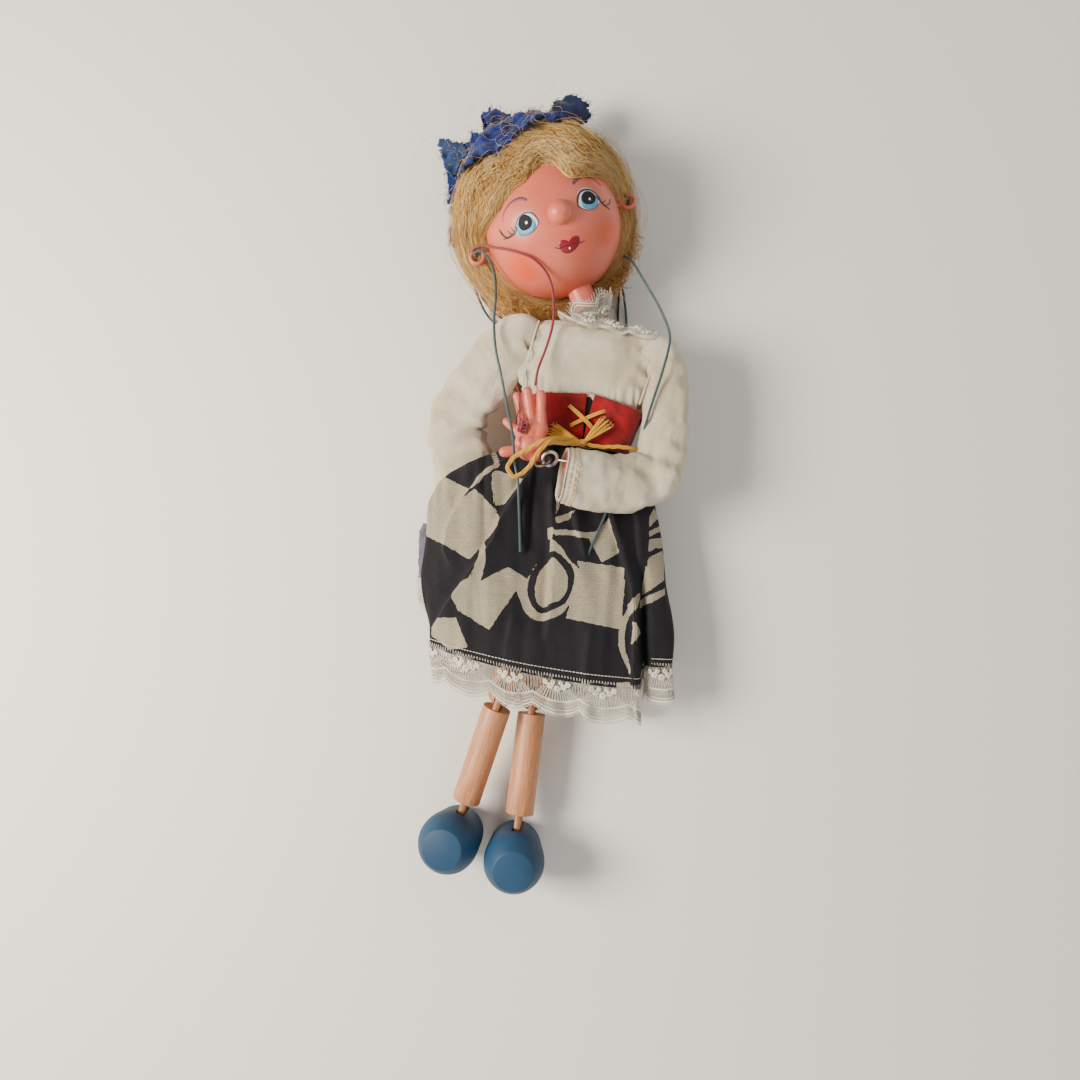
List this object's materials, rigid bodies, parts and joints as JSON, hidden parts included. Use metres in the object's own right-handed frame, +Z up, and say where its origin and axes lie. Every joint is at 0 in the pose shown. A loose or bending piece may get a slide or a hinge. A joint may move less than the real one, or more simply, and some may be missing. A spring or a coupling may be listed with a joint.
{
  "type": "marionette puppet",
  "caption": "String puppet of a girl in a folk dress, lying on its back on the wooden control that its strings are wound on",
  "frame": {"origin": "centre of the lying puppet's footprint, on the surface it lies on", "axes": "+X towards the puppet's left, +Y from its feet towards its head, +Z up out of its front"},
  "size_m": [0.1016, 0.305, 0.058],
  "materials": {
    "painted_skin": "glossy flesh-pink paint on turned wood, with painted features",
    "body_wood": "bare varnished beech",
    "control_wood": "plain sawn wood",
    "steel_wire": "bright bent wire and pins, a little tarnished",
    "calico": "cream woven cotton, matt",
    "lace": "cream cotton lace, matt",
    "red_felt": "red wool felt",
    "yellow_thread": "yellow twisted cotton",
    "mohair": "fine golden mohair with a soft sheen",
    "blue_felt": "worn blue wool felt",
    "printed_cotton": "dark cotton printed with cream line shapes",
    "blue_paint": "teal-blue gloss paint on turned wood",
    "black_string": "black twisted string",
    "red_string": "red twisted string",
    "green_string": "grey-green twisted string"
  },
  "bodies": {
    "chest": {"chest_block": "body_wood", "torso_wire": "steel_wire", "shoulder_wire": "steel_wire", "blouse_body": "calico", "felt_bodice": "red_felt", "bodice_lacing": "yellow_thread", "lace_collar": "lace", "waist_tie": "yellow_thread", "head_string_right": "black_string", "head_string_left": "black_string", "hand_string_left": "red_string", "leg_string_right": "green_string", "leg_string_left": "green_string"},
    "neck_link": {"neck_ring": "steel_wire"},
    "head": {"head_ball": "painted_skin", "nose_bead": "painted_skin", "neck_dowel": "painted_skin", "neck_screw_eye": "steel_wire", "ear_eye_right": "painted_skin", "ear_eye_left": "painted_skin", "hair_wig": "mohair", "felt_hat": "blue_felt"},
    "hips": {"hip_block": "body_wood", "hip_axle": "steel_wire", "hip_screw_eye": "steel_wire", "skirt": "printed_cotton", "skirt_lace": "lace"},
    "upper_arm_left": {"upper_arm_left": "painted_skin", "upper_arm_left_wire": "steel_wire", "upper_sleeve_left": "calico"},
    "forearm_left": {"forearm_left": "painted_skin", "forearm_left_wire": "steel_wire", "lower_sleeve_left": "calico"},
    "hand_left": {"hand_left": "painted_skin"},
    "thigh_left": {"thigh_left": "body_wood", "knee_pin_left": "steel_wire"},
    "shin_left": {"shin_left": "body_wood", "shin_strip_left": "body_wood"},
    "foot_left": {"foot_left": "blue_paint", "ankle_pin_left": "steel_wire"},
    "upper_arm_right": {"upper_arm_right": "painted_skin", "upper_arm_right_wire": "steel_wire", "upper_sleeve_right": "calico"},
    "forearm_right": {"forearm_right": "painted_skin", "forearm_right_wire": "steel_wire", "lower_sleeve_right": "calico"},
    "hand_right": {"hand_right": "painted_skin"},
    "thigh_right": {"thigh_right": "body_wood", "knee_pin_right": "steel_wire"},
    "shin_right": {"shin_right": "body_wood", "shin_strip_right": "body_wood"},
    "foot_right": {"foot_right": "blue_paint", "ankle_pin_right": "steel_wire"},
    "control": {"control_bar": "control_wood", "control_crosspiece": "control_wood", "control_leg_bar": "control_wood", "head_strings_winding": "black_string", "hand_string_winding": "red_string", "leg_strings_winding": "green_string"}
  },
  "joints": [
    {"name": "head_nod", "type": "hinge", "parent": "chest", "child": "neck_link", "pos_m": [0.02027, 0.05758, 0.0232], "axis": [0.9903, -0.1392, 0], "range_deg": [-30, 30], "deforming": ["lace_collar"]},
    {"name": "head_turn", "type": "hinge", "parent": "neck_link", "child": "head", "pos_m": [0.02027, 0.05758, 0.0232], "axis": [-0.3821, 0.9137, 0.1382], "range_deg": [-50, 50]},
    {"name": "waist_sway", "type": "hinge", "parent": "chest", "child": "hips", "pos_m": [0.0132, 0.00727, 0.0232], "axis": [0, 0, 1], "range_deg": [-16, 30], "deforming": ["skirt", "skirt_lace"]},
    {"name": "shoulder_left", "type": "hinge", "parent": "chest", "child": "upper_arm_left", "pos_m": [0.04223, 0.045, 0.0256], "axis": [0, 0, 1], "range_deg": [0, 97], "deforming": ["upper_sleeve_left", "waist_tie"]},
    {"name": "elbow_left", "type": "hinge", "parent": "upper_arm_left", "child": "forearm_left", "pos_m": [0.04693, -0.00073, 0.0274], "axis": [-0.3633, -0.0738, -0.9287], "range_deg": [-100, 3], "deforming": ["lower_sleeve_left"]},
    {"name": "wrist_left", "type": "hinge", "parent": "forearm_left", "child": "hand_left", "pos_m": [0.00279, 0.004, 0.04429], "axis": [0.2507, -0.5372, 0.8054], "range_deg": [-30, 20]},
    {"name": "shoulder_right", "type": "hinge", "parent": "chest", "child": "upper_arm_right", "pos_m": [-0.00431, 0.05154, 0.0256], "axis": [0, 0, -1], "range_deg": [0, 60], "deforming": ["upper_sleeve_right"]},
    {"name": "elbow_right", "type": "hinge", "parent": "upper_arm_right", "child": "forearm_right", "pos_m": [-0.03871, 0.02371, 0.01302], "axis": [-0.2551, -0.1183, 0.9596], "range_deg": [-57, 10], "deforming": ["lower_sleeve_right"]},
    {"name": "wrist_right", "type": "hinge", "parent": "forearm_right", "child": "hand_right", "pos_m": [-0.0342, -0.02336, 0.00842], "axis": [0, 0, 1], "range_deg": [-30, 30]},
    {"name": "hip_left", "type": "hinge", "parent": "hips", "child": "thigh_left", "pos_m": [0.01544, -0.01574, 0.0202], "axis": [-0.9613, 0.2756, 0], "range_deg": [-4, 90]},
    {"name": "knee_left", "type": "hinge", "parent": "thigh_left", "child": "shin_left", "pos_m": [-0.00667, -0.08198, 0.013], "axis": [0.9909, -0.1344, 0], "range_deg": [0, 90]},
    {"name": "ankle_left", "type": "hinge", "parent": "shin_left", "child": "foot_left", "pos_m": [-0.01385, -0.13499, 0.0128], "axis": [-0.9909, 0.1344, 0], "range_deg": [-26, 15]},
    {"name": "hip_right", "type": "hinge", "parent": "hips", "child": "thigh_right", "pos_m": [-0.0009, -0.01105, 0.0202], "axis": [0.9613, -0.2756, 0], "range_deg": [-90, 4]},
    {"name": "knee_right", "type": "hinge", "parent": "thigh_right", "child": "shin_right", "pos_m": [-0.01767, -0.07958, 0.0215], "axis": [-0.9385, 0.3453, 0], "range_deg": [-90, 10]},
    {"name": "ankle_right", "type": "hinge", "parent": "shin_right", "child": "foot_right", "pos_m": [-0.03589, -0.12911, 0.01274], "axis": [0.9385, -0.3453, 0], "range_deg": [-15, 26]},
    {"name": "control_slide", "type": "slide", "parent": "chest", "child": "control", "axis": [0, 0, -1], "range_m": [0, 0.08], "deforming": ["head_string_right", "head_string_left", "hand_string_left", "leg_string_right", "leg_string_left"]}
  ]
}
